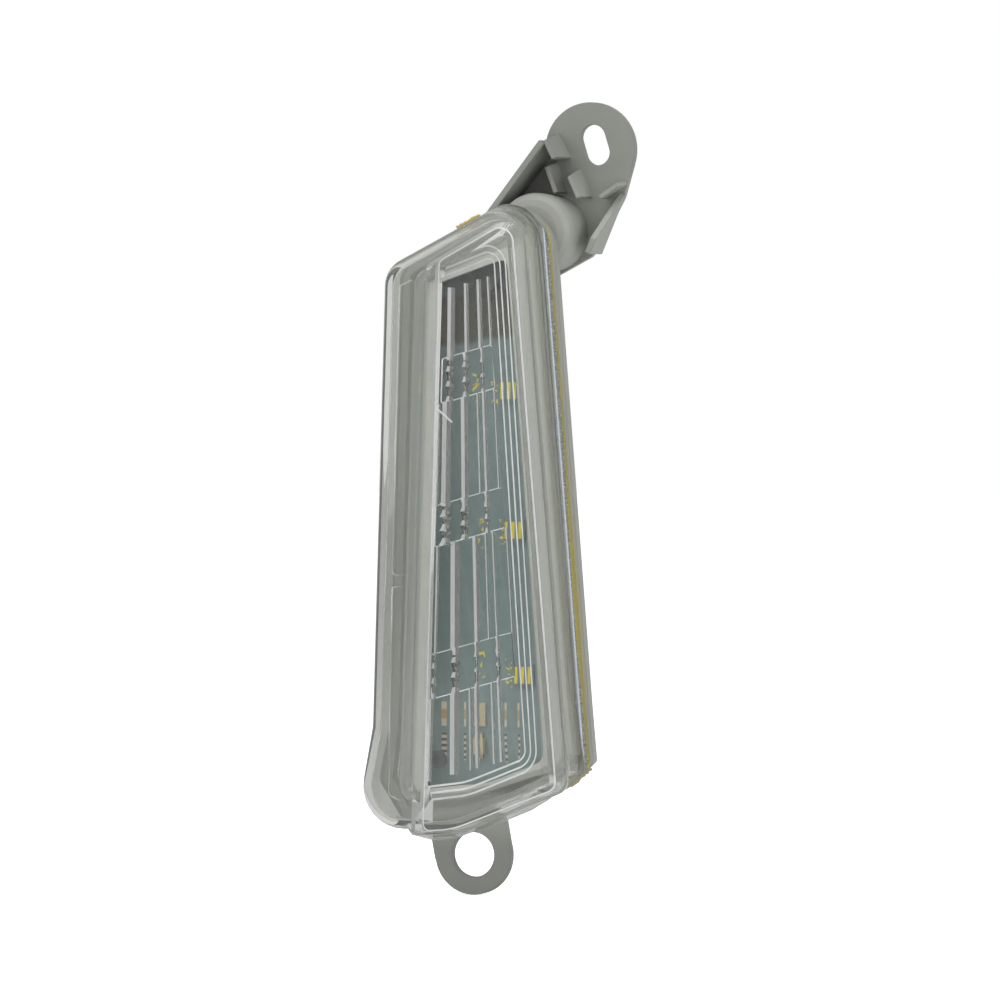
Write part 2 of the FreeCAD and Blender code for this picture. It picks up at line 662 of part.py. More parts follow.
os.makedirs("parts", exist_ok=True)
for name, shape in pieces.items():
    print(name, shape.isValid(), len(shape.Solids), round(shape.Volume, 1), len(shape.Faces))
    shape.exportStep("parts/" + name + ".step")
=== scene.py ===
import math

import bmesh
import bpy
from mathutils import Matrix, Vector


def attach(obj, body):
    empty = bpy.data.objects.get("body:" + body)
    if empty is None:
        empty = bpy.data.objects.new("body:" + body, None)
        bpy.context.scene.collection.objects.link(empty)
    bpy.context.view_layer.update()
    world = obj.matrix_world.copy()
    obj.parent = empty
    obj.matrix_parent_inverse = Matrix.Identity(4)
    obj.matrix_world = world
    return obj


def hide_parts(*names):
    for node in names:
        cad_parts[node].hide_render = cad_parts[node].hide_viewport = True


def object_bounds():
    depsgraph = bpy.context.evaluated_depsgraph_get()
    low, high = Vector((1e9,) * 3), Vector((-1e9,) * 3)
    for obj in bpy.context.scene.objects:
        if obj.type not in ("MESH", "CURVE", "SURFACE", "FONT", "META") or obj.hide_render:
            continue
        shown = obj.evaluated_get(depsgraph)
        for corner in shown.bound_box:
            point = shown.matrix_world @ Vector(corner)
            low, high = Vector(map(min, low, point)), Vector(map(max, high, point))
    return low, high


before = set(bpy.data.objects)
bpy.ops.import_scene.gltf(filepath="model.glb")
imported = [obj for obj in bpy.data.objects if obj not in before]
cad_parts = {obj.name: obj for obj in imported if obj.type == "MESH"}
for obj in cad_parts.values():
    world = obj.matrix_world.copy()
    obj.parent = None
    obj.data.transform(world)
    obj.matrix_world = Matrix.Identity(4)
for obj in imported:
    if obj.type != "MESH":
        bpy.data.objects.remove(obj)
CAD_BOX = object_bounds()

bl_info = {
    "name": "Daytime running light",
    "version": (1, 0, 0),
    "blender": (4, 5, 0),
    "location": "3D View > Sidebar > Running light",
    "description": "Dresses a moulded daytime running light with its clear lens, glue, board and studio",
    "category": "Object",
}

MM = 0.001
FINISHES = {}

# Sizes of the shapes, all in millimetres: x to the right, y to the back, z upward, y 0 at the housing's rim

WINDOW_FACE = -16.0
LEDGE_FACE = -11.0
LENS_WALL = 2.3
FLANGE = 2.4

# Outlines, clockwise from the top left, as (x, z, corner radius) in millimetres
HOUSING_RIM = ((-21.4, 159.4, 7.0), (22.0, 182.6, 12.0), (33.2, 42.2, 80.0), (34.7, 25.6, 2.0),
               (27.4, 18.6, 2.5), (-3.0, 8.8, 30.0), (-19.5, 8.2, 3.0), (-27.0, 19.5, 3.0),
               (-25.0, 36.0, 20.0))
LENS_FOOT = ((-22.4, 160.2, 8.0), (18.3, 181.6, 9.0), (29.9, 42.2, 80.0), (32.3, 22.9, 3.5),
             (-3.0, 7.2, 40.0), (-31.1, 6.8, 11.8), (-25.9, 35.0, 9.0))
LENS_LEDGE = ((-21.8, 158.9, 8.0), (17.9, 179.4, 9.0), (29.4, 42.2, 80.0), (31.6, 23.6, 3.5),
              (-3.0, 7.4, 40.0), (-30.7, 7.0, 11.5), (-25.5, 35.0, 9.0))
BOX_FRONT = ((-4.0, 161.0, 2.5), (16.9, 172.4, 4.0), (27.7, 42.9, 80.0), (29.6, 19.6, 3.0),
             (0.0, 7.9, 24.0), (-8.7, 7.2, 2.0))
BOX_FOOT = ((-9.6, 160.0, 3.0), (17.7, 175.0, 4.5), (28.6, 42.6, 80.0), (30.6, 19.4, 3.5), (0.0, 6.8, 24.0),
            (-14.3, 6.3, 2.0))
FIELD = ((-8.0, 155.2, 1.5), (11.1, 162.6, 2.0), (20.2, 27.4, 3.5), (3.0, 20.4, 20.0), (-12.5, 18.2, 1.5))

# The lens's lip and tongue
LIP_LINE = ((-17.8, 4.9), (-11.2, 3.5), (-6.0, 4.0), (9.2, 9.3), (16.8, 12.4), (22.6, 15.9))
LIP_TOP_LINE = ((-11.0, 7.6), (-9.0, 7.4), (-4.2, 7.5), (9.2, 11.2), (16.8, 13.9), (22.9, 16.9))
LIP_HEIGHT = 3.0
TONGUE_INSET = 3.6
TONGUE = 2.0
TONGUE_BACK = 3.3

# Rounding of the lens, outside and in the hollow
LEDGE_ROUND = 2.2
BOX_ROUND = 0.5
FOOT_FILLET = 0.6
HOLLOW_LEDGE_ROUND = 0.6
HOLLOW_BOX_ROUND = 0.2
ARC_POINTS = 9

# The stepped frame inside the window
STEPS = 3
STEP_OUT = 1.75
STEP_UP = 0.7
STEP_SLOPE = 0.55
OPTICS_DEPTH = WINDOW_FACE + LENS_WALL + STEPS * STEP_UP

# Left and right sides of the fan of ribs, as (x, z, slope)
FAN_LEFT = (-4.6, 154.5, 0.0317)
FAN_RIGHT = (15.0, 102.2, -0.0655)

# Shallow recesses in the ledge
RECESSES = (((-17.2, 154.2), (-12.6, 156.6), (-15.0, 76.0), (-19.4, 76.0)),
            ((-19.4, 73.0), (-15.1, 73.0), (-16.2, 14.2), (-20.6, 16.6)))
RECESS_DEPTH = 0.5
RECESS_SLOPE = 0.3
RECESS_CORNER = 1.2

# Grey frame behind the ledge of the lens
TUB_INSET = 7.7
BEZEL_FRONT = 0.8
BEZEL_T = 0.8
BEZEL_FLARE = ((0.5, -1.0), (0.1, 0.2))
BEZEL_OPENING = ((-10.2, 154.3, 1.5), (9.6, 161.6, 2.0), (20.6, 26.6, 3.5), (3.0, 19.6, 20.0),
                 (-14.6, 17.4, 1.5))

# Ribs between the pads: each zone's top and bottom at its left, and each rib's share of the fan and width
RIB_ZONES = (
    (152.8, 134.0, ((0.21, 2.1), (0.467, 1.3), (0.688, 1.3), (0.857, 0.8))),
    (122.2, 94.5, ((0.05, 0.7), (0.164, 2.6), (0.42, 2.1), (0.62, 0.7), (0.71, 1.1), (0.869, 0.5))),
    (83.6, 54.4, ((0.076, 0.9), (0.289, 2.6), (0.542, 1.7), (0.672, 0.6), (0.763, 0.7), (0.938, 0.5))),
    (42.6, 20.2, ((0.042, 1.3), (0.288, 2.6), (0.452, 0.8), (0.523, 1.4), (0.687, 0.8), (0.76, 1.1))),
)
# Beaded ribs on the pads, in the same form
BEAD_ZONES = (
    (134.2, 122.0, ((0.194, 2.5), (0.438, 2.2), (0.699, 1.4))),
    (94.8, 83.4, ((0.163, 3.6), (0.407, 2.7), (0.695, 1.7))),
    (54.7, 42.4, ((0.062, 1.6), (0.293, 2.8), (0.522, 1.5), (0.76, 1.4))),
)

# How far the foot of a rib or pad sinks into the face behind it
SUNK = 0.3

# Shape of a rib a millimetre wide: height, lean to the right, and roundness of its tip
RIB_STEEP = 0.8
RIB_LEAN = 0.25
RIB_TIP = 0.06
RIB_POINTS = 8
RIB_BACK = -8.75

# Beads of a rib on a pad, each narrower at both ends
BEADS = 3
BEAD_WAIST = 0.45
BEAD_STEPS = 8

# Pads, as the top left and bottom left corners and the top and bottom widths
PADS = (((-4.0, 134.7), (-4.4, 122.3), 14.2, 15.6), ((-5.9, 95.1), (-6.3, 83.6), 18.9, 20.5),
        ((-6.3, 55.2), (-7.3, 42.6), 22.2, 24.2))
PAD_RISE = 0.28
PAD_T = 0.5
PAD_SLOPE = 0.28
PAD_CORNER = 0.8

# The clear part of the lens: sides as (x, z, slope), top as (z, x, slope), and where its foot fades in
CLEAR_LEFT = (-8.5, 155.2, 0.0328)
CLEAR_RIGHT = (16.0, 162.6, -0.0673)
CLEAR_TOP = (158.8, 0.0, 0.387)
CLEAR_FOOT = (17, 19)
CLEAR_BLUR = 0.4

# Painted white glint, a streak across the window's front face
GLINT_MIDDLE = (-2.68, 119.82)
GLINT_LENGTH = 7.2
GLINT_WIDTH = 0.68
GLINT_TURN = math.radians(-40)

# What the lens's edge attribute says of a face: a painted white highlight, a painted pale highlight or
# painted dark shade
WHITE_PAINTED_HIGHLIGHT = 1.0
PALE_PAINTED_HIGHLIGHT = 0.8
DARK_PAINTED_SHADE = 0.5

# Heights over which painted shade darkens the housing toward each ear, and where the glue spreads furthest
LOWER_EAR_SHADE = (14, 0)
UPPER_EAR_SHADE = (178, 188)
GLUE_SPREAD_Z = 69
GLUE_RIGHT = (8, 16)

# Bare strip of the board: its slope, and the heights over which it begins and ends
BARE_SLOPE = 0.15
BARE_FROM = (139.5, 142)
BARE_TO = (154, 152)
# Heights over which painted shade darkens the board's top, and the pitch of its tracks
TOP_SHADE = (150, 153)
TRACK_PITCH = 2.8

# Painted images of the board's lower parts, as the ribs repeat them: columns as (x, half width), heights,
# half lengths
IMAGE_COLUMNS = ((-11.4, 0.8), (-5.7, 0.35), (5.3, 0.35), (8.8, 0.3))
BLOCK_Z = 37.4
BLOCK_HALF = 3.4
BLOCK_MIDDLE = 1.4
RINGS_Z = 28.7
RINGS_HALF = 3.9
RING_PITCH = 1.6

# Painted yellow glints beside the diodes, images of them seen through the pads, as (x, z)
DIODE_GLINTS = ((-2.6, 126.5), (2.2, 124.5), (-1.4, 86.8), (4.6, 87.6), (-1.0, 50.5), (6.2, 48.8))
DIODE_GLINT_HALF = (1.0, 4.5)

# Yellow bars painted on the diodes, as the window's steps break up their image: place of the lowest, how far
# each higher one stands to its left, and the pitch
BARS_X = 10.5
BARS_MIDDLE_SHIFT = 2.6
BARS_UPPER_SHIFT = 1.5
BAR_PITCH = 1.7
BARS_START = 7.95

# Lamps, as name, azimuth, elevation, distance, size and power
SOFTBOXES = (
    ("key_softbox", -35, 35, 1.0, (0.7, 0.9), 3.6),
    ("fill_softbox", 75, 20, 1.1, (0.5, 0.9), 4.2),
    ("top_softbox", 10, 80, 1.1, (0.8, 0.8), 4.5),
)
WORLD_GLOW = 0.5
FLOOR_GLOW = 0.7
FLOOR_REACH = 3.0
FLOOR_GAP = 0.2
BOUNCES = 24


# Node maths

class Value:
    """A number in a node tree: sums on it add Math nodes."""

    def __init__(self, maker, socket):
        self.maker = maker
        self.socket = socket

    def maths(self, operation, *values):
        return self.maker.node("ShaderNodeMath", {"operation": operation}, dict(enumerate(values)))

    def __add__(self, other):
        return self.maths("ADD", self, other)

    def __radd__(self, other):
        return self.maths("ADD", other, self)

    def __sub__(self, other):
        return self.maths("SUBTRACT", self, other)

    def __rsub__(self, other):
        return self.maths("SUBTRACT", other, self)

    def __mul__(self, other):
        return self.maths("MULTIPLY", self, other)

    def __rmul__(self, other):
        return self.maths("MULTIPLY", other, self)

    def __truediv__(self, other):
        return self.maths("DIVIDE", self, other)

    def __pow__(self, other):
        return self.maths("POWER", self, other)

    def over(self, edge):
        return self.maths("GREATER_THAN", self, edge)

    def wave(self, period):
        """Rises from 0 to half a period and falls back, over and over."""
        return self.maths("PINGPONG", self, period / 2)

    def near(self, place, half, blur):
        """1 up to half away from a place, fading to 0 over the last blur of it."""
        return self.maths("ABSOLUTE", self - place).span(half, half - blur)

    def most(self, other):
        return self.maths("MAXIMUM", self, other)

    def span(self, low, high):
        """0 below low, 1 above high, and a smooth step between."""
        inputs = {"Value": self, "From Min": low, "From Max": high}
        return self.maker.node("ShaderNodeMapRange", {"interpolation_type": "SMOOTHSTEP"}, inputs)


class Maker:
    """Adds nodes to a tree and joins them up."""

    def plug(self, socket, value):
        if isinstance(value, Value):
            self.tree.links.new(value.socket, socket)
        elif isinstance(value, bpy.types.NodeSocket):
            self.tree.links.new(value, socket)
        elif hasattr(socket.default_value, "__len__") and len(socket.default_value) == 4 and len(value) == 3:
            socket.default_value = (*value, 1.0)
        else:
            socket.default_value = value

    def node(self, kind, settings=None, inputs=None, output=0):
        """Adds a node, its settings made first, and gives the output asked for as a Value."""
        made = self.tree.nodes.new(kind)
        for name, value in (settings or {}).items():
            setattr(made, name, value)
        for name, value in (inputs or {}).items():
            self.plug(made.inputs[name], value)
        return Value(self, made.outputs[output])


class Form(Maker):
    """A Geometry Nodes tree being built, with named inputs, that ends as a plain mesh."""

    def __init__(self, name, **inputs):
        self.tree = bpy.data.node_groups.new(name, "GeometryNodeTree")
        self.tree.interface.new_socket("Geometry", in_out="OUTPUT", socket_type="NodeSocketGeometry")
        self.values = {}
        sockets = []
        for label, value in inputs.items():
            kind = {int: "Int", float: "Float", bpy.types.Material: "Material"}.get(type(value), "Object")
            socket = self.tree.interface.new_socket(label.replace("_", " "), in_out="INPUT",
                                                    socket_type="NodeSocket" + kind)
            sockets.append(socket)
            self.values[socket.identifier] = value
        given = self.tree.nodes.new("NodeGroupInput")
        for label, socket in zip(inputs, given.outputs):
            setattr(self, label, Value(self, socket))

    def made(self, name, shape, material):
        """The plain mesh object of the tree's last shape."""
        real = self.node("GeometryNodeRealizeInstances", {}, {0: shape})
        dressed = self.node("GeometryNodeSetMaterial", {}, {0: real, "Material": material})
        end = self.tree.nodes.new("NodeGroupOutput")
        self.tree.links.new(dressed.socket, end.inputs[0])
        piece = bpy.data.objects.new(name, bpy.data.meshes.new(name))
        bpy.context.collection.objects.link(piece)
        modifier = piece.modifiers.new(name, "NODES")
        modifier.node_group = self.tree
        for identifier, value in self.values.items():
            modifier[identifier] = value
        settle(piece)
        return piece


class Finish(Maker):
    """A material being built on one Principled shader."""

    def __init__(self, name):
        self.material = bpy.data.materials.new(name)
        self.material.use_nodes = True
        self.tree = self.material.node_tree
        self.tree.nodes.clear()
        self.surface = self.tree.nodes.new("ShaderNodeBsdfPrincipled")
        self.output = self.tree.nodes.new("ShaderNodeOutputMaterial")
        self.tree.links.new(self.surface.outputs[0], self.output.inputs["Surface"])
        FINISHES[name] = self.material

    def place(self):
        """The point on the object, in metres."""
        return self.node("ShaderNodeTexCoord", output="Object")

    def split(self):
        """The point's three coordinates, in millimetres."""
        scaled = self.node("ShaderNodeVectorMath", {"operation": "SCALE"}, {0: self.place(), "Scale": 1 / MM})
        made = self.tree.nodes.new("ShaderNodeSeparateXYZ")
        self.plug(made.inputs[0], scaled)
        return [Value(self, socket) for socket in made.outputs]

    def noise(self, size, detail=2.0, rough=0.5):
        """Noise whose features are about size millimetres across."""
        inputs = {"Vector": self.place(), "Scale": 1 / (size * MM), "Detail": detail, "Roughness": rough}
        return self.node("ShaderNodeTexNoise", {}, inputs)

    def cells(self, size):
        """The distance from the middle of each cell, the cells being about size millimetres across."""
        inputs = {"Vector": self.place(), "Scale": 1 / (size * MM)}
        return self.node("ShaderNodeTexVoronoi", {}, inputs, "Distance")

    def mix(self, share, first, second):
        """A colour between two others."""
        inputs = {"Factor": share, 6: first, 7: second}
        return self.node("ShaderNodeMix", {"data_type": "RGBA"}, inputs, output=2)

    def blend(self, share, first, second):
        """A shader between two others."""
        return self.node("ShaderNodeMixShader", {}, {0: share, 1: first, 2: second})

    def cloud(self, colour):
        """Milky plastic of one colour, lit from either side."""
        front = self.node("ShaderNodeBsdfDiffuse", {}, {"Color": colour})
        back = self.node("ShaderNodeBsdfTranslucent", {}, {"Color": colour})
        return self.blend(0.5, front, back)

    def bump(self, height, strength, distance, normal=None):
        inputs = {"Height": height, "Strength": strength, "Distance": distance * MM}
        if normal:
            inputs["Normal"] = normal
        return self.node("ShaderNodeBump", {}, inputs)

    def set(self, **values):
        """Sets or links sockets of the Principled shader, named with spaces as underscores."""
        for name, value in values.items():
            self.plug(self.surface.inputs[name.replace("_", " ")], value)

    def end(self, shader):
        """Shows this shader in place of the Principled one alone."""
        self.plug(self.output.inputs["Surface"], shader)


def shown(red, green, blue):
    """The linear colour of an sRGB colour given in 0 to 255."""
    parts = [part / 255 for part in (red, green, blue)]
    return tuple(part / 12.92 if part < 0.04045 else ((part + 0.055) / 1.055) ** 2.4 for part in parts)


def shade(colour, share):
    """The colour made darker or lighter, white at most."""
    return tuple(min(part * share, 1) for part in colour)


def coat(piece, name):
    """Gives a piece its finish."""
    piece.data.materials.clear()
    piece.data.materials.append(FINISHES[name])


def on_line(line, place):
    """The value at a place of a line given as (value, place, slope)."""
    return (place - line[1]) * line[2] + line[0]


def from_rim(x, z):
    """How far a point lies in from the housing's top and right edges and their corner, in millimetres."""
    radius = HOUSING_RIM[1][2]
    beyond = []
    for start, end in ((HOUSING_RIM[0], HOUSING_RIM[1]), (HOUSING_RIM[1], HOUSING_RIM[2])):
        run = (Vector(end[:2]) - Vector(start[:2])).normalized()
        inward = (x - start[0]) * run.y - (z - start[1]) * run.x
        beyond.append((radius - inward).most(0))
    return radius - (beyond[0] * beyond[0] + beyond[1] * beyond[1]) ** 0.5


# Finishes

def housing_finish(settings):
    """Grey plastic, darker toward each ear from painted shade, with glue smeared along its right edge."""
    finish = Finish("grey_plastic")
    x, y, z = finish.split()
    inward = from_rim(x, z)
    base = settings.housing_colour
    broad = finish.noise(14, 3)
    fine = finish.noise(0.35, 3, 0.6)
    colour = finish.mix(broad.span(0.35, 0.7) * 0.35, base, shade(base, 0.86))
    colour = finish.mix(fine.span(0.55, 0.8) * 0.2, colour, shade(base, 1.25))
    # Painted shade: darker toward the lower ear, and less so toward the upper
    painted_ear_shade = z.span(*LOWER_EAR_SHADE) * 0.9 + z.span(*UPPER_EAR_SHADE) * 0.55
    colour = finish.mix(painted_ear_shade, colour, shade(base, 0.62))
    edge = 0.9 - z.near(GLUE_SPREAD_Z, 40, 40) * 0.4
    smear = (inward - edge).span(-0.15, 0.15) * inward.span(1.9, 1.6)
    smear = smear * y.span(0.7, 0.3) * (x - z * 0.12).span(-8, -5)
    colour = finish.mix(smear, colour, finish.mix(fine, shown(178, 166, 96), shown(150, 148, 122)))
    finish.set(Base_Color=colour, Roughness=0.42 + fine * 0.16, Specular_IOR_Level=0.45)
    soft = finish.node("ShaderNodeBevel", {"samples": 4}, {"Radius": 0.5 * MM})
    finish.set(Normal=finish.bump(fine + broad * 0.5, 0.25, 0.06, soft))


def lens_finish(settings):
    """Clear plastic that the lamps' light passes through, milky round the window, with painted highlights and
    painted shade as milky plastic on the faces the edge attribute picks out, and a painted glint on the
    window.
    """
    finish = Finish("clear_lens")
    x, y, z = finish.split()
    haze = finish.noise(6, 3)
    finish.set(Base_Color=settings.lens_tint, Roughness=0.01 + haze * 0.03, IOR=1.5, Transmission_Weight=1.0)
    window = z.span(*CLEAR_FOOT)
    for inside in (x - on_line(CLEAR_LEFT, z), on_line(CLEAR_RIGHT, z) - x, on_line(CLEAR_TOP, x) - z):
        window = window * inside.span(-CLEAR_BLUR, CLEAR_BLUR)
    mark = finish.node("ShaderNodeAttribute", {"attribute_name": "edge"}, output="Fac")
    white, painted_highlight, painted_light_mark = [mark.over(edge - 0.1) for edge in (WHITE_PAINTED_HIGHLIGHT, PALE_PAINTED_HIGHLIGHT, DARK_PAINTED_SHADE)]
    # A painted glint: a white streak across the window's front face
    off_x, off_z = x - GLINT_MIDDLE[0], z - GLINT_MIDDLE[1]
    cos, sin = math.cos(GLINT_TURN), math.sin(GLINT_TURN)
    painted_glint = (off_x * cos + off_z * sin).near(0, GLINT_LENGTH / 2, 0.2)
    painted_glint = painted_glint * (off_z * cos - off_x * sin).near(0, GLINT_WIDTH / 2, 0.12)
    painted_glint = painted_glint * y.span(WINDOW_FACE + 0.3, WINDOW_FACE + 0.2)
    milk_and_painted_light = finish.cloud(shown(176, 178, 172))
    # Painted light as milky plastic: dark painted shade on the rib flanks, pale and white painted highlights
    # on the edges, and a white painted glint
    milk_and_painted_light = finish.blend(painted_light_mark, milk_and_painted_light, finish.cloud(shown(44, 46, 44)))
    milk_and_painted_light = finish.blend(painted_highlight, milk_and_painted_light, finish.cloud(shown(200, 203, 200)))
    milk_and_painted_light = finish.blend(white, milk_and_painted_light, finish.cloud(shown(252, 254, 255)))
    milk_and_painted_light = finish.blend(painted_glint, milk_and_painted_light, finish.cloud(shown(245, 246, 246)))
    share = (0.24 + haze * 0.08 - window * 0.25).most(painted_light_mark * 0.6 + white * 0.22).most(painted_glint * 0.9)
    moulded = finish.blend(share, finish.surface.outputs[0], milk_and_painted_light)
    clear = finish.node("ShaderNodeBsdfTransparent", {}, {"Color": (1, 1, 1)})
    finish.end(finish.blend(finish.node("ShaderNodeLightPath", output="Is Shadow Ray"), moulded, clear))


def glue_finish(settings):
    """Grey glue full of bubbles, yellowed along its outer line on the right."""
    finish = Finish("yellowed_glue")
    x, _, z = finish.split()
    inward = from_rim(x, z)
    broad = finish.noise(4, 3)
    bubbles = finish.cells(0.7)
    specks = finish.noise(0.45, 3, 0.7)
    colour = finish.mix(broad.span(0.3, 0.7), shown(158, 160, 153), shown(142, 144, 137))
    right = x.span(*GLUE_RIGHT)
    speckled = right * inward.span(2.75, 2.6)
    colour = finish.mix(bubbles.span(0.35, 0.1) * speckled, colour, shown(205, 206, 200))
    colour = finish.mix(specks.span(0.5, 0.62) * speckled, colour, shown(88, 88, 80))
    reach = 1.55 + z.near(GLUE_SPREAD_Z, 45, 45) * 0.6 + broad * 0.3
    colour = finish.mix((inward - reach).span(0.12, -0.12) * right, colour, settings.glue_colour)
    line = right * inward.span(2.6, 2.7) * inward.span(3.15, 3.05)
    colour = finish.mix(line, colour, shown(206, 216, 232))
    finish.set(Base_Color=colour, Roughness=0.35 + broad * 0.25)
    finish.set(Normal=finish.bump(bubbles, 0.8, 0.3))


def board_finish(settings):
    """Teal solder mask with faint tracks, a bare strip near its top with painted shade above it, and painted
    images of its lower parts and its diodes, as the ribs and pads repeat them.
    """
    finish = Finish("teal_board")
    x, _, z = finish.split()
    teal = settings.board_colour
    mottle = finish.noise(3.0, 4)
    spots = finish.noise(1.1, 2)
    tracks = (x * 0.8 + z * 0.12).wave(TRACK_PITCH).span(0.9, 1.2)
    mask = finish.mix(mottle.span(0.3, 0.7), teal, shade(teal, 0.88))
    mask = finish.mix(tracks * 0.3, mask, shade(teal, 1.2))
    # Painted shade: the board darker above its bare strip
    mask = finish.mix(z.span(*TOP_SHADE), mask, shade(teal, 0.45))
    ground = finish.mix(mottle, shown(92, 88, 70), shown(70, 72, 60))
    ground = finish.mix(spots.span(0.6, 0.68), ground, shown(52, 46, 32))
    level = z - x * BARE_SLOPE
    colour = finish.mix((level + mottle * 3).span(*BARE_FROM) * level.span(*BARE_TO), mask, ground)
    # Painted images of the lower parts, as the ribs repeat them
    for place, half in IMAGE_COLUMNS:
        column = x.near(place, half, 0.15)
        block = column * z.near(BLOCK_Z, BLOCK_HALF, 0.2)
        colour = finish.mix(block, colour, shown(214, 206, 178))
        colour = finish.mix(block * z.near(BLOCK_Z, BLOCK_MIDDLE, 0.2), colour, shown(190, 160, 100))
        bands = finish.mix(z.wave(RING_PITCH).span(0.3, 0.5), shown(84, 84, 76), shown(206, 200, 178))
        colour = finish.mix(column * z.near(RINGS_Z, RINGS_HALF, 0.2), colour, bands)
    # Painted yellow glints: images of the diodes seen through the pads
    sparks = finish.noise(0.9, 1)
    for place_x, place_z in DIODE_GLINTS:
        spot = x.near(place_x, DIODE_GLINT_HALF[0], 0.3) * z.near(place_z, DIODE_GLINT_HALF[1], 1.0)
        colour = finish.mix(spot * sparks.span(0.6, 0.64), colour, settings.phosphor_colour)
    finish.set(Base_Color=colour, Roughness=0.35 + mottle * 0.15)
    finish.set(Normal=finish.bump(tracks, 0.4, 0.05))


def phosphor_finish(settings):
    """Three yellow bars painted on each diode, as the stepped window breaks up its image."""
    finish = Finish("phosphor")
    x, _, z = finish.split()
    grain = finish.noise(0.3, 3)
    middle = BARS_X - BARS_MIDDLE_SHIFT * z.span(68, 69) - BARS_UPPER_SHIFT * z.span(106, 107)
    gaps = (x - middle + BARS_START).wave(BAR_PITCH).span(0.42, 0.5)
    colour = finish.mix(grain, settings.phosphor_colour, shade(settings.phosphor_colour, 0.85))
    colour = finish.mix(gaps, shown(118, 138, 138), colour)
    finish.set(Base_Color=colour, Roughness=0.4, Normal=finish.bump(grain, 0.2, 0.05))


def plain_finish(name, colour, roughness, metallic=0.0):
    """A moulded or plated finish with fine mottling."""
    finish = Finish(name)
    mottle = finish.noise(0.8, 3)
    mixed = finish.mix(mottle, shade(colour, 1.12), shade(colour, 0.82))
    finish.set(Base_Color=mixed, Roughness=roughness + (mottle - 0.5) * 0.15, Metallic=metallic)
    finish.set(Normal=finish.bump(mottle, 0.15, 0.03))


# Shapes

def inset(corners, distance):
    """The outline moved inward, its rounded corners staying parallel."""
    turned = sum(a[0] * b[1] - b[0] * a[1] for a, b in zip(corners, corners[1:] + corners[:1]))
    side = math.copysign(1, turned)
    lines = []
    for (x, z, _), (next_x, next_z, _) in zip(corners, corners[1:] + corners[:1]):
        run = Vector((next_x - x, next_z - z)).normalized()
        lines.append((Vector((x, z)) + Vector((-run.y, run.x)) * side * distance, run))
    moved = []
    for i, (_, _, radius) in enumerate(corners):
        (start, run), (on_start, on_run) = lines[i - 1], lines[i]
        cross = run.x * on_run.y - run.y * on_run.x
        gap = on_start - start
        point = start + run * ((gap.x * on_run.y - gap.y * on_run.x) / cross)
        inward = distance if cross * side > 0 else -distance
        moved.append((point.x, point.y, max(radius - inward, 0.3)))
    return tuple(moved)


def between(corners, others, share):
    """The outline at this share of the way from one to another."""
    return tuple(tuple(a + (b - a) * share for a, b in zip(one, two)) for one, two in zip(corners, others))


def ring(corners, y):
    """Points round an outline with rounded corners, at depth y, in metres."""
    points = []
    for i, (x, z, radius) in enumerate(corners):
        here = Vector((x, z))
        back = (Vector(corners[i - 1][:2]) - here).normalized()
        on = (Vector(corners[(i + 1) % len(corners)][:2]) - here).normalized()
        half = back.angle(on) / 2
        centre = here + (back + on).normalized() * radius / math.sin(half)
        start = here + back * radius / math.tan(half) - centre
        turn = (math.pi - 2 * half) * math.copysign(1, back.x * on.y - back.y * on.x)
        for step in range(ARC_POINTS):
            angle = -turn * step / (ARC_POINTS - 1)
            spoke = Vector((start.x * math.cos(angle) - start.y * math.sin(angle),
                            start.x * math.sin(angle) + start.y * math.cos(angle)))
            points.append(Vector((centre.x + spoke.x, y, centre.y + spoke.y)) * MM)
    return points


def solid(name, rings):
    """A closed mesh object through rings of as many points each."""
    bm = bmesh.new()
    loops = [[bm.verts.new(point) for point in points] for points in rings]
    for low, high in zip(loops, loops[1:]):
        for i in range(len(low)):
            bm.faces.new((low[i - 1], low[i], high[i], high[i - 1]))
    bm.faces.new(loops[0])
    bm.faces.new(loops[-1])
    bmesh.ops.recalc_face_normals(bm, faces=bm.faces)
    mesh = bpy.data.meshes.new(name)
    bm.to_mesh(mesh)
    bm.free()
    made = bpy.data.objects.new(name, mesh)
    bpy.context.collection.objects.link(made)
    return made


def crown(corners, y, radius, steps=6):
    """Rings that round an outline's front edge over from its side to its face at depth y."""
    turns = [math.pi / 2 * i / steps for i in range(1, steps + 1)]
    return [ring(inset(corners, radius * (1 - math.cos(a))), y + radius * (1 - math.sin(a))) for a in turns]


def join(base, other, operation="UNION"):
    """Adds or cuts one closed mesh with another, which is then gone."""
    modifier = base.modifiers.new(operation.lower(), "BOOLEAN")
    modifier.operation = operation
    modifier.solver = "MANIFOLD"
    modifier.object = other
    settle(base)
    bpy.data.objects.remove(other)


def settle(piece):
    """Turns a piece and its modifiers into a plain mesh."""
    graph = bpy.context.evaluated_depsgraph_get()
    graph.update()
    mesh = bpy.data.meshes.new_from_object(piece.evaluated_get(graph))
    piece.modifiers.clear()
    piece.data = mesh


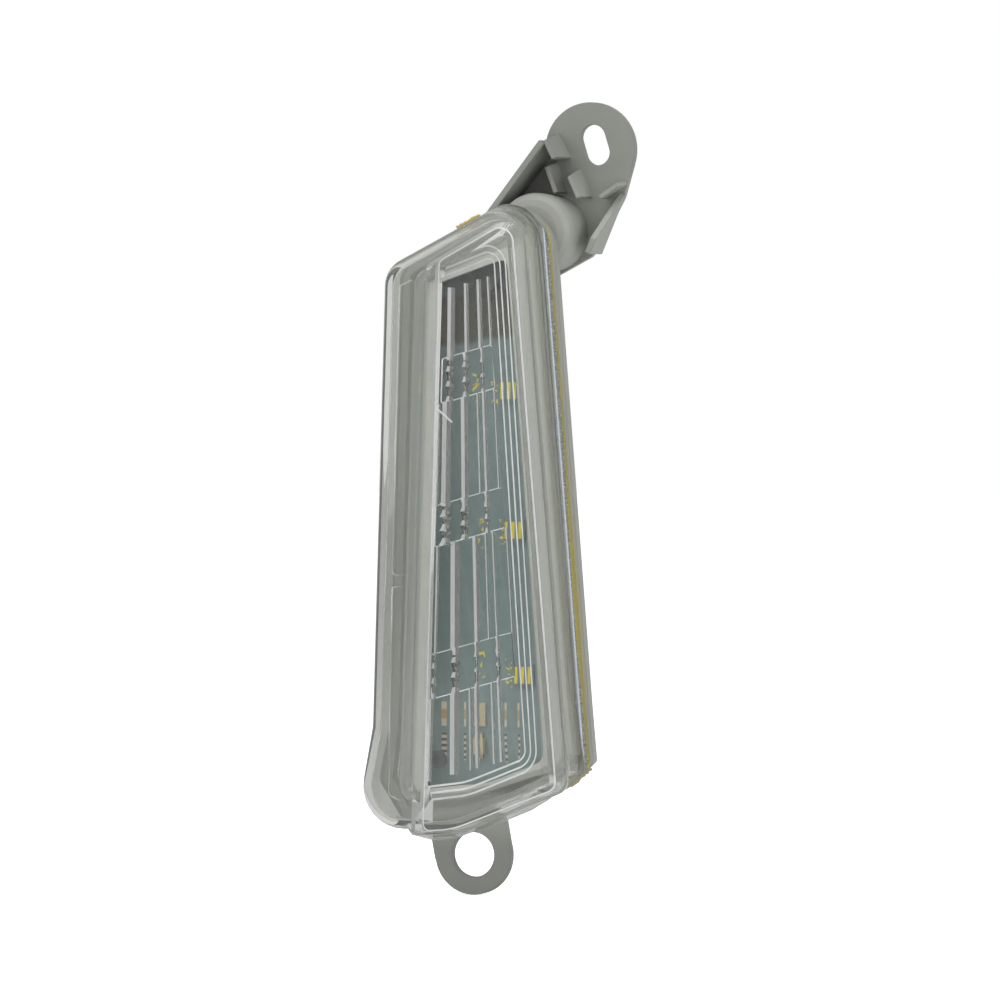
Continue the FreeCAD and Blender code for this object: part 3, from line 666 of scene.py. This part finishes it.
def cap_shell():
    """The lens without its optics: ledge, window box, lip and tongue, hollowed."""
    body = solid("lens_clear", [ring(LENS_FOOT, 0)] + [ring(LENS_LEDGE, LEDGE_FACE + LEDGE_ROUND)]
                 + crown(LENS_LEDGE, LEDGE_FACE, LEDGE_ROUND, 8))
    flare = []
    for i in range(5):
        turn = math.pi / 2 * i / 4
        rise = FOOT_FILLET * (1 - math.cos(turn))
        part = between(BOX_FOOT, BOX_FRONT, rise / (LEDGE_FACE - WINDOW_FACE))
        flare.append(ring(inset(part, -FOOT_FILLET * (1 - math.sin(turn))), LEDGE_FACE - rise))
    sunk = ring(inset(BOX_FOOT, -FOOT_FILLET), LEDGE_FACE + 1)
    side = ring(BOX_FRONT, WINDOW_FACE + BOX_ROUND)
    join(body, solid("box", [sunk] + flare + [side] + crown(BOX_FRONT, WINDOW_FACE, BOX_ROUND)))
    lip = []
    for line, y in ((LIP_TOP_LINE, WINDOW_FACE + 2 * BOX_ROUND), (LIP_LINE, -0.01)):
        low = [Vector((x, y, z)) * MM for x, z in line]
        lip.append(low + [Vector((x, y, z + LIP_HEIGHT)) * MM for x, z in reversed(line)])
    join(body, solid("lip", lip))
    tongue = inset(HOUSING_RIM, TONGUE_INSET)
    join(body, solid("tongue", [ring(tongue, -FLANGE + 0.01), ring(tongue, TONGUE_BACK)]))
    ledge, face = inset(LENS_LEDGE, LENS_WALL), LEDGE_FACE + LENS_WALL
    inner = [ring(inset(LENS_FOOT, LENS_WALL), -FLANGE), ring(ledge, face + HOLLOW_LEDGE_ROUND)]
    join(body, solid("hollow", inner + crown(ledge, face, HOLLOW_LEDGE_ROUND, 3)), "DIFFERENCE")
    inner = [ring(inset(BOX_FOOT, LENS_WALL), face + HOLLOW_LEDGE_ROUND)]
    front, face = inset(BOX_FRONT, LENS_WALL), WINDOW_FACE + LENS_WALL
    inner.append(ring(front, face + HOLLOW_BOX_ROUND))
    join(body, solid("hollow", inner + crown(front, face, HOLLOW_BOX_ROUND, 3)), "DIFFERENCE")
    opening = inset(tongue, TONGUE)
    join(body, solid("opening", [ring(opening, -FLANGE - 1), ring(opening, TONGUE_BACK + 1)]), "DIFFERENCE")
    for recess in RECESSES:
        outline = tuple((x, z, RECESS_CORNER) for x, z in recess)
        rings = [ring(inset(outline, -RECESS_SLOPE), LEDGE_FACE - 1), ring(outline, LEDGE_FACE + 0.1)]
        rings.append(ring(inset(outline, RECESS_SLOPE), LEDGE_FACE + RECESS_DEPTH))
        join(body, solid("recess", rings), "DIFFERENCE")
    return body


def bezel():
    """The grey frame inside the lamp that leaves only the window's part of the board in sight."""
    back = BEZEL_FRONT + BEZEL_T
    outline = inset(HOUSING_RIM, TUB_INSET)
    plate = solid("inner_bezel", [ring(outline, BEZEL_FRONT), ring(outline, back)])
    hole = [ring(inset(BEZEL_OPENING, -wider), BEZEL_FRONT + depth) for wider, depth in BEZEL_FLARE]
    join(plate, solid("hole", hole + [ring(BEZEL_OPENING, back + 1)]), "DIFFERENCE")
    tidy(plate)
    return plate


def glue_run(name, start, end, count, size, material):
    """A run of squeezed-out glue: lumps of uneven size strung from start to end."""
    form = Form("glue run", Count=count, Size=size * MM, Start_x=start[0] * MM, Start_z=start[1] * MM,
                End_x=end[0] * MM, End_z=end[1] * MM)
    ends = [form.node("ShaderNodeCombineXYZ", {}, {"X": x, "Y": form.Size * -0.2, "Z": z})
            for x, z in ((form.Start_x, form.Start_z), (form.End_x, form.End_z))]
    line = form.node("GeometryNodeMeshLine", {"mode": "END_POINTS"},
                     {"Count": form.Count, "Start Location": ends[0], "Offset": ends[1]})
    lump = form.node("GeometryNodeMeshIcoSphere", {}, {"Radius": form.Size, "Subdivisions": 3})
    sizes = {"Min": 0.55, "Max": 1.1, "Seed": 4}
    spread = form.node("FunctionNodeRandomValue", {"data_type": "FLOAT"}, sizes, 1)
    scale = form.node("ShaderNodeCombineXYZ", {}, {"X": spread * 1.6, "Y": 0.5, "Z": spread})
    lumps = form.node("GeometryNodeInstanceOnPoints", {}, {"Points": line, "Instance": lump, "Scale": scale})
    piece = form.made(name, lumps, FINISHES[material])
    piece.data.shade_smooth()
    return piece


def window_steps():
    """The stepped frame inside the window."""
    face = WINDOW_FACE + LENS_WALL
    rings = [ring(inset(FIELD, -STEP_OUT * (STEPS - 1)), face - STEP_UP)]
    for step in range(STEPS):
        edge = inset(FIELD, -STEP_OUT * (STEPS - 1 - step))
        rings.append(ring(edge, face + STEP_UP * step))
        rings.append(ring(inset(edge, STEP_SLOPE), face + STEP_UP * (step + 1)))
    return solid("steps", rings)


def rib_form(beads=0):
    """A straight rib a millimetre wide and long that hangs from the origin, plain or with waisted beads."""
    drop = math.hypot(0.5, RIB_TIP)
    section = [(-0.5, -SUNK)]
    for i in range(RIB_POINTS + 1):
        x = i / RIB_POINTS - 0.5
        y = RIB_STEEP * (drop - math.hypot(x, RIB_TIP)) / (drop - RIB_TIP)
        section.append((x - RIB_LEAN * y, y))
    section.append((0.5, -SUNK))
    count = max(beads * BEAD_STEPS, 1)
    rings = []
    for i in range(count + 1):
        waist = 1 - BEAD_WAIST * abs(math.sin(math.pi * i * beads / count))
        rings.append([Vector((x * waist, y * waist if y > 0 else y, -i / count)) * MM for x, y in section])
    return solid("rib", rings)


def across_fan(share, z):
    """The place across the window at height z, this share of the way over the fan of ribs."""
    left = (z - FAN_LEFT[1] * MM) * FAN_LEFT[2] + FAN_LEFT[0] * MM
    right = (z - FAN_RIGHT[1] * MM) * FAN_RIGHT[2] + FAN_RIGHT[0] * MM
    return left + share * (right - left)


def fan_ribs(top, bottom, ribs, depth, beads=0):
    """One zone of ribs, spread like a fan, their ends following the slope of the pads."""
    shape = rib_form(beads)
    places = bpy.data.meshes.new("places")
    places.from_pydata([(0, 0, 0)] * len(ribs), [], [])
    for column, name in enumerate(("share", "wide")):
        values = places.attributes.new(name, "FLOAT", "POINT")
        for i, rib in enumerate(ribs):
            values.data[i].value = rib[column]
    marks = bpy.data.objects.new("places", places)
    form = Form("fan ribs", Rib=shape, Places=marks, Top=top * MM, Bottom=bottom * MM, Depth=depth * MM,
                Slope=PAD_RISE)
    share, wide = [form.node("GeometryNodeInputNamedAttribute", {"data_type": "FLOAT"}, {"Name": name})
                   for name in ("share", "wide")]
    ends = []
    for level in (form.Top, form.Bottom):
        z = level + share * (across_fan(1, level) - across_fan(0, level)) * form.Slope
        ends.append((across_fan(share, z), z))
    (head_x, head_z), (foot_x, foot_z) = ends
    place = form.node("ShaderNodeCombineXYZ", {}, {"X": head_x, "Y": form.Depth, "Z": head_z})
    points = form.node("GeometryNodeObjectInfo", {}, {"Object": form.Places}, "Geometry")
    points = form.node("GeometryNodeSetPosition", {}, {"Geometry": points, "Position": place})
    lean = head_x.maths("ARCTAN2", head_x - foot_x, head_z - foot_z)
    rib = form.node("GeometryNodeObjectInfo", {}, {"Object": form.Rib}, "Geometry")
    turn = form.node("ShaderNodeCombineXYZ", {}, {"Y": lean})
    size = form.node("ShaderNodeCombineXYZ", {}, {"X": wide, "Y": wide, "Z": (head_z - foot_z) / MM})
    made = form.made("ribs", form.node("GeometryNodeInstanceOnPoints", {}, {
        "Points": points, "Instance": rib, "Rotation": turn, "Scale": size}), FINISHES["clear_lens"])
    for spent in (shape, marks):
        bpy.data.objects.remove(spent)
    return made


def pad_plate(top_left, bottom_left, top_wide, bottom_wide, depth):
    """The raised plate of one pad, its edges sloping."""
    corners = [top_left, (top_left[0] + top_wide, top_left[1] + top_wide * PAD_RISE)]
    corners += [(bottom_left[0] + bottom_wide, bottom_left[1] + bottom_wide * PAD_RISE), bottom_left]
    corners = tuple((x, z, PAD_CORNER) for x, z in corners)
    top = ring(inset(corners, PAD_SLOPE), depth + PAD_T)
    return solid("pad", [ring(corners, depth - SUNK), ring(corners, depth), top])


def tidy(piece):
    """Clears the slivers that joining leaves in a mesh."""
    sliver = 0.002 * MM
    bm = bmesh.new()
    bm.from_mesh(piece.data)
    bmesh.ops.remove_doubles(bm, verts=bm.verts, dist=sliver)
    bmesh.ops.dissolve_degenerate(bm, edges=bm.edges, dist=sliver)
    bmesh.ops.triangulate(bm, faces=bm.faces)
    bm.to_mesh(piece.data)
    bm.free()
    piece.data.validate()


def mark_painted_light(piece):
    """Marks the faces that get a painted highlight along the lens's edges and steps, and the rib flanks that
    get painted shade.
    """
    marks = piece.data.attributes.new("edge", "FLOAT", "FACE")
    for face, mark in zip(piece.data.polygons, marks.data):
        x, y, z = face.center / MM
        across, depth, up = face.normal
        left, right = [across_fan(share, z * MM) / MM for share in (0, 1)]
        if OPTICS_DEPTH + 0.03 < y < RIB_BACK and depth > 0.2 and left - 0.8 < x < right + 0.6:
            on_bead = y > OPTICS_DEPTH + PAD_T and any(low < z < high for high, low, _ in BEAD_ZONES)
            if on_pad_edge(x, z) and y < OPTICS_DEPTH + PAD_T - 0.03 and depth < 0.7:
                mark.value = WHITE_PAINTED_HIGHLIGHT
            elif across < -0.3 and (not on_bead or up > 0.12):
                mark.value = WHITE_PAINTED_HIGHLIGHT
            elif across > 0.3 and x > left + 0.3:
                mark.value = DARK_PAINTED_SHADE
        elif WINDOW_FACE + LENS_WALL < y < OPTICS_DEPTH and 0.3 < depth < 0.9 and across > -0.3:
            mark.value = WHITE_PAINTED_HIGHLIGHT
        elif y < WINDOW_FACE + BOX_ROUND and -0.95 < depth < -0.2:
            mark.value = WHITE_PAINTED_HIGHLIGHT
        elif WINDOW_FACE < y < LEDGE_FACE - FOOT_FILLET and across < -0.4 and depth < -0.3:
            mark.value = PALE_PAINTED_HIGHLIGHT


def on_pad_edge(x, z):
    """Whether a point lies on the sloping edge of a pad."""
    for top_left, bottom_left, top_wide, bottom_wide in PADS:
        share = (top_left[1] - z) / (top_left[1] - bottom_left[1])
        left = top_left[0] + (bottom_left[0] - top_left[0]) * share
        wide = top_wide + (bottom_wide - top_wide) * share
        top = top_left[1] + (x - top_left[0]) * PAD_RISE
        bottom = bottom_left[1] + (x - bottom_left[0]) * PAD_RISE
        if bottom - 0.1 < z < top + 0.1 and left - 0.1 < x < left + wide + 0.2:
            if min(abs(z - top), abs(z - bottom), abs(x - left), abs(x - left - wide)) < 0.45:
                return True
    return False


def smooth(piece, degrees):
    """Shades a piece smooth, except across edges sharper than this."""
    mesh = piece.data
    mesh.shade_smooth()
    mesh.set_sharp_from_angle(angle=math.radians(degrees))


# Settings

class LampSettings(bpy.types.PropertyGroup):
    housing_colour: bpy.props.FloatVectorProperty(
        name="Housing colour", description="Grey of the moulded housing", subtype="COLOR", size=3,
        default=shown(150, 152, 145))
    lens_tint: bpy.props.FloatVectorProperty(
        name="Lens tint", description="Tint of the clear lens", subtype="COLOR", size=3,
        default=(0.915, 0.92, 0.9))
    glue_colour: bpy.props.FloatVectorProperty(
        name="Glue colour", description="Yellowed glue in the channel", subtype="COLOR", size=3,
        default=shown(178, 166, 92))
    board_colour: bpy.props.FloatVectorProperty(
        name="Board colour", description="Solder mask of the board", subtype="COLOR", size=3,
        default=shown(122, 144, 145))
    phosphor_colour: bpy.props.FloatVectorProperty(
        name="Phosphor colour", description="Yellow of the diodes", subtype="COLOR", size=3,
        default=shown(250, 226, 36))


class StageSettings(bpy.types.PropertyGroup):
    azimuth: bpy.props.FloatProperty(
        name="Azimuth", description="Camera's turn round the lamp", default=math.radians(20), subtype="ANGLE")
    elevation: bpy.props.FloatProperty(
        name="Elevation", description="Camera's height above the horizon", default=math.radians(2),
        subtype="ANGLE")
    width: bpy.props.FloatProperty(
        name="View width", description="Width seen at the lamp", default=270.3 * MM, unit="LENGTH")
    distance: bpy.props.FloatProperty(
        name="Distance", description="From the camera to the lamp", default=2.0, unit="LENGTH")
    aim: bpy.props.FloatVectorProperty(
        name="Aim", description="Point at the middle of the view", default=(7.8 * MM, 0, 96.3 * MM),
        unit="LENGTH")


# Operators

class LAMP_OT_stage(bpy.types.Operator):
    """Camera, studio lamps, floor and backdrop"""

    bl_idname = "lamp.stage"
    bl_label = "Set the stage"

    def execute(self, context):
        stage = context.scene.stage_settings
        add_camera(stage)
        for softbox in SOFTBOXES:
            add_lamp(*softbox, stage.aim)
        set_world()
        add_floor()
        return {"FINISHED"}


def toward(azimuth, elevation):
    """The direction from the lamp to a camera or light."""
    flat = math.cos(elevation)
    return Vector((math.sin(azimuth) * flat, -math.cos(azimuth) * flat, math.sin(elevation)))


def add_camera(stage):
    camera = bpy.data.objects.new("camera", bpy.data.cameras.new("camera"))
    bpy.context.collection.objects.link(camera)
    away = toward(stage.azimuth, stage.elevation)
    camera.location = Vector(stage.aim) + away * stage.distance
    camera.rotation_euler = away.to_track_quat("Z", "Y").to_euler()
    camera.data.lens = camera.data.sensor_width * stage.distance / stage.width
    bpy.context.scene.camera = camera


def add_lamp(name, azimuth, elevation, distance, size, power, aim):
    light = bpy.data.lights.new(name, "AREA")
    light.shape = "RECTANGLE"
    light.size, light.size_y = size
    light.energy = power
    lamp = bpy.data.objects.new(name, light)
    away = toward(math.radians(azimuth), math.radians(elevation))
    lamp.location = Vector(aim) + away * distance
    lamp.rotation_euler = away.to_track_quat("Z", "Y").to_euler()
    bpy.context.collection.objects.link(lamp)


def set_world():
    """A white background, to the camera and through the lens, that lights the lamp less than it shows."""
    scene = bpy.context.scene
    world = bpy.data.worlds.new("studio")
    world.use_nodes = True
    tree = world.node_tree
    tree.nodes["Background"].inputs["Color"].default_value = (1, 1, 1, 1)
    paths = tree.nodes.new("ShaderNodeLightPath")
    strength = tree.nodes.new("ShaderNodeMapRange")
    strength.inputs["To Min"].default_value = WORLD_GLOW
    strength.inputs["To Max"].default_value = 1.0
    clear = tree.nodes.new("ShaderNodeMath")
    clear.operation = "MAXIMUM"
    tree.links.new(paths.outputs["Is Camera Ray"], clear.inputs[0])
    tree.links.new(paths.outputs["Is Transmission Ray"], clear.inputs[1])
    tree.links.new(clear.outputs[0], strength.inputs["Value"])
    tree.links.new(strength.outputs[0], tree.nodes["Background"].inputs["Strength"])
    scene.world = world
    scene.view_settings.view_transform = "Standard"
    scene.cycles.max_bounces = BOUNCES
    scene.cycles.transmission_bounces = BOUNCES


def add_floor():
    """A pale floor just below the lamp, glowing to the camera."""
    mesh = bpy.data.meshes.new("floor")
    low = CAD_BOX[0][2] - FLOOR_GAP * MM
    corners = [(x * FLOOR_REACH, y * FLOOR_REACH, low) for x, y in ((-1, -1), (1, -1), (1, 1), (-1, 1))]
    mesh.from_pydata(corners, [], [(0, 1, 2, 3)])
    floor = bpy.data.objects.new("floor", mesh)
    bpy.context.collection.objects.link(floor)
    finish = Finish("pale_floor")
    finish.set(Base_Color=(0.85, 0.85, 0.85), Roughness=0.9, Specular_IOR_Level=0.1)
    seen = finish.node("ShaderNodeLightPath", output="Is Camera Ray")
    glow = finish.node("ShaderNodeEmission", {}, {"Color": (1, 1, 1), "Strength": seen * FLOOR_GLOW})
    finish.end(finish.node("ShaderNodeAddShader", {}, {0: finish.surface.outputs[0], 1: glow}))
    coat(floor, "pale_floor")


class LAMP_OT_finishes(bpy.types.Operator):
    """Materials of the moulded, glued and soldered pieces"""

    bl_idname = "lamp.finishes"
    bl_label = "Mix the finishes"

    def execute(self, context):
        lamp = context.scene.lamp_settings
        housing_finish(lamp)
        lens_finish(lamp)
        glue_finish(lamp)
        board_finish(lamp)
        phosphor_finish(lamp)
        plain_finish("bezel_grey", shown(192, 194, 188), 0.5)
        plain_finish("orange_glue", shown(196, 170, 96), 0.35)
        plain_finish("tan_glue", shown(158, 150, 122), 0.4)
        plain_finish("package", shown(118, 138, 138), 0.4)
        plain_finish("tinned", shown(96, 100, 98), 0.4, 0.6)
        plain_finish("zinc", shown(96, 108, 108), 0.45, 0.5)
        plain_finish("black_moulding", shown(40, 40, 40), 0.5)
        plain_finish("chip_ends", shown(196, 184, 150), 0.4)
        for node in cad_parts:
            coat(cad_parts[node], self.finish_of(node))
        return {"FINISHED"}

    def finish_of(self, node):
        """The finish for a CAD node, by how its name starts."""
        starts = {
            "housing": "grey_plastic", "lens": "clear_lens", "sealant": "yellowed_glue",
            "circuit": "teal_board", "led": "package", "phosphor": "phosphor",
            "terminal_carrier": "black_moulding", "terminal": "tinned", "board_screw": "zinc",
            "resistor": "chip_ends", "filter": "chip_ends", "protection": "chip_ends",
            "driver": "black_moulding", "breather": "black_moulding",
        }
        for start, name in starts.items():
            if node.startswith(start):
                return name
        raise KeyError(node)


class LAMP_OT_lens(bpy.types.Operator):
    """The clear lens, with rounded edges, a stepped window, ribs and pads"""

    bl_idname = "lamp.lens"
    bl_label = "Mould the lens"

    def execute(self, context):
        lens = cap_shell()
        join(lens, window_steps())
        for zone in RIB_ZONES:
            join(lens, fan_ribs(*zone, OPTICS_DEPTH))
        for pad, zone in zip(PADS, BEAD_ZONES):
            join(lens, pad_plate(*pad, OPTICS_DEPTH))
            join(lens, fan_ribs(*zone, OPTICS_DEPTH + PAD_T, BEADS))
        tidy(lens)
        mark_painted_light(lens)
        smooth(lens, 35)
        coat(lens, "clear_lens")
        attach(lens, "root")
        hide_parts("lens")
        return {"FINISHED"}


class LAMP_OT_bezel(bpy.types.Operator):
    """The grey frame inside the lamp, behind the ledge of the lens"""

    bl_idname = "lamp.bezel"
    bl_label = "Fit the bezel"

    def execute(self, context):
        piece = bezel()
        smooth(piece, 35)
        coat(piece, "bezel_grey")
        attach(piece, "root")
        return {"FINISHED"}


class LAMP_OT_glue(bpy.types.Operator):
    """The bits of old glue squeezed out at the rim"""

    bl_idname = "lamp.glue"
    bl_label = "Squeeze out the glue"

    def execute(self, context):
        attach(glue_run("glue_bit_top", (-4.2, 170.1), (1.7, 173.2), 12, 0.45, "orange_glue"), "root")
        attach(glue_run("glue_bit_corner", (33.6, 24.0), (28.4, 19.4), 12, 0.5, "tan_glue"), "root")
        return {"FINISHED"}


class LAMP_PT_panel(bpy.types.Panel):
    """Lists the steps that dress the lamp"""

    bl_idname = "LAMP_PT_panel"
    bl_label = "Running light"
    bl_space_type = "VIEW_3D"
    bl_region_type = "UI"
    bl_category = "Running light"

    def draw(self, context):
        for operator in OPERATORS:
            self.layout.operator(operator.bl_idname)


OPERATORS = (LAMP_OT_stage, LAMP_OT_finishes, LAMP_OT_lens, LAMP_OT_bezel, LAMP_OT_glue)
CLASSES = (LampSettings, StageSettings) + OPERATORS + (LAMP_PT_panel,)


def register():
    for cls in CLASSES:
        bpy.utils.register_class(cls)
    bpy.types.Scene.lamp_settings = bpy.props.PointerProperty(type=LampSettings)
    bpy.types.Scene.stage_settings = bpy.props.PointerProperty(type=StageSettings)


def unregister():
    del bpy.types.Scene.stage_settings
    del bpy.types.Scene.lamp_settings
    for cls in reversed(CLASSES):
        bpy.utils.unregister_class(cls)


def main():
    register()
    bpy.ops.lamp.stage()
    bpy.ops.lamp.finishes()
    bpy.ops.lamp.lens()
    bpy.ops.lamp.bezel()
    bpy.ops.lamp.glue()


if __name__ == "__main__":
    main()
